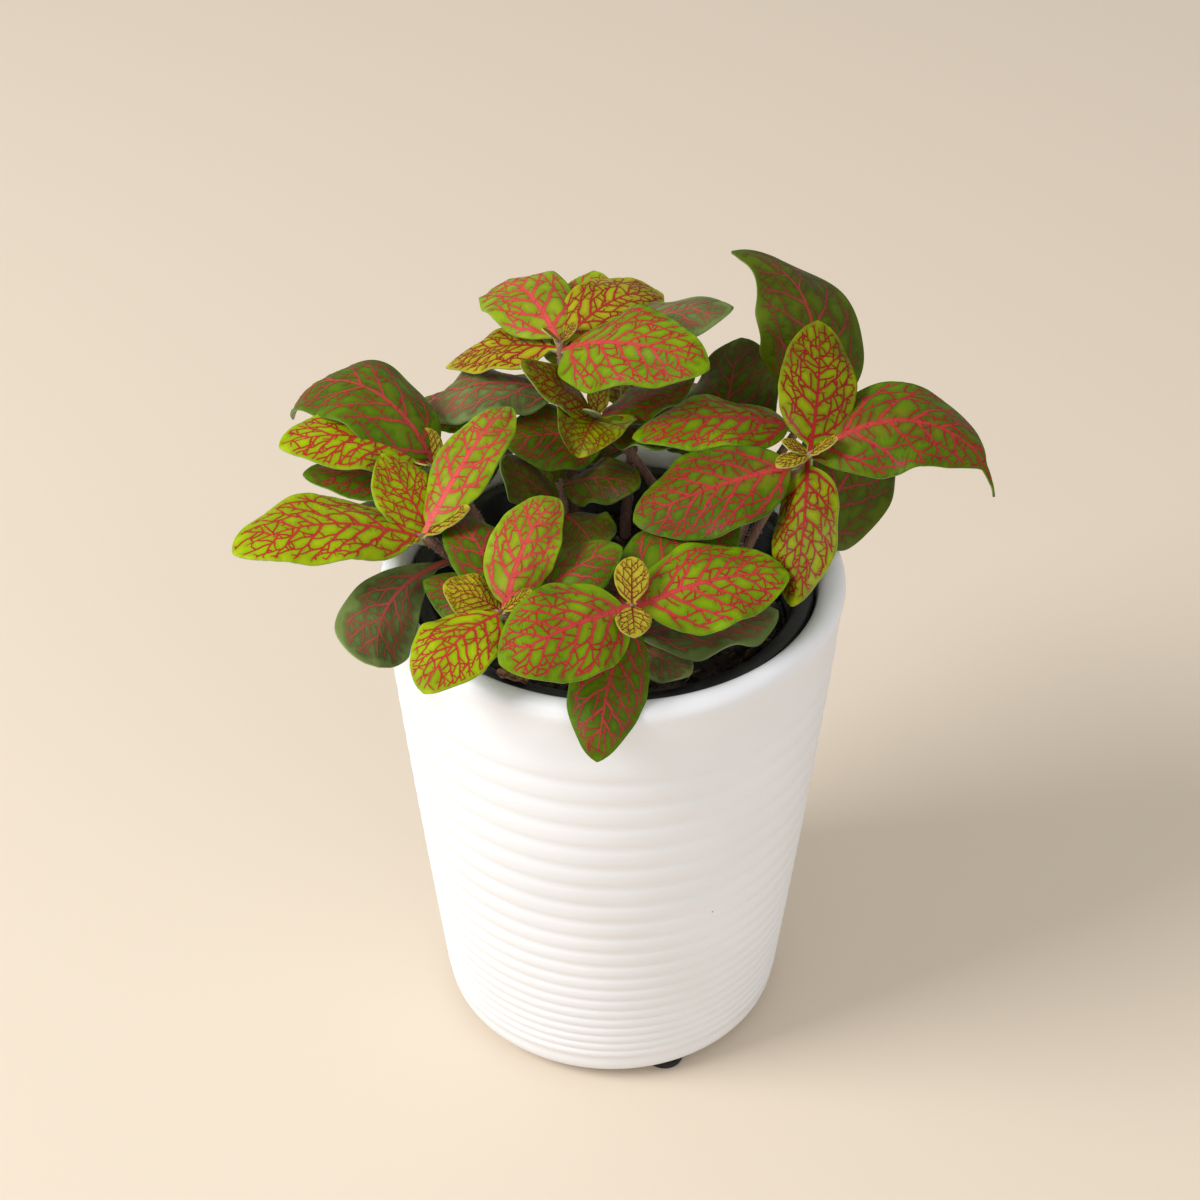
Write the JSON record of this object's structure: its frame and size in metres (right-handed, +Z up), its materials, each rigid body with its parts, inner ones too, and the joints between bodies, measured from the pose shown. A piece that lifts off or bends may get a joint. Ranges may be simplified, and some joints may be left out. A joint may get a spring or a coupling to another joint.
{
  "type": "potted nerve plant",
  "caption": "Bushy potted nerve plant with veined oval leaves in opposite pairs, in a thin black nursery pot inside a white ribbed ceramic cachepot on small pads.",
  "frame": {"origin": "on the pot's axis at the surface it stands on, below the middle of the whole part", "axes": "+Z up along the pot's axis; the side seen in the picture faces -Y, with +X to its right"},
  "size_m": [0.2189, 0.1612, 0.2401],
  "materials": {
    "white_ceramic": "satin glaze",
    "black_rubber": "matt",
    "black_plastic": "semi-matt, formed from sheet",
    "potting_soil": "crumbly, matt",
    "leaf_green": "soft waxy sheen",
    "dry_stem": "dry, matt",
    "dry_leaf": "dry, matt"
  },
  "bodies": {
    "root": {"pot": "white_ceramic", "foot_pad_1": "black_rubber", "foot_pad_2": "black_rubber", "foot_pad_3": "black_rubber", "nursery_pot": "black_plastic", "soil": "potting_soil", "leafy_stem_right_front": "leaf_green", "leafy_stem_right_back": "leaf_green", "leafy_stem_mid_right": "leaf_green", "leafy_stem_back_high": "leaf_green", "leafy_stem_centre": "leaf_green", "leafy_stem_left_back": "leaf_green", "leafy_stem_left_front": "leaf_green", "leafy_stem_front_left": "leaf_green", "leafy_stem_front": "leaf_green", "leafy_stem_middle": "leaf_green", "leafy_stem_back_left": "leaf_green", "leafy_stem_back": "leaf_green", "leafy_stem_back_right": "leaf_green", "leafy_stem_left_low": "leaf_green", "leafy_stem_right_low": "leaf_green", "cut_stub": "dry_stem", "dry_leaf": "dry_leaf"}
  },
  "joints": []
}
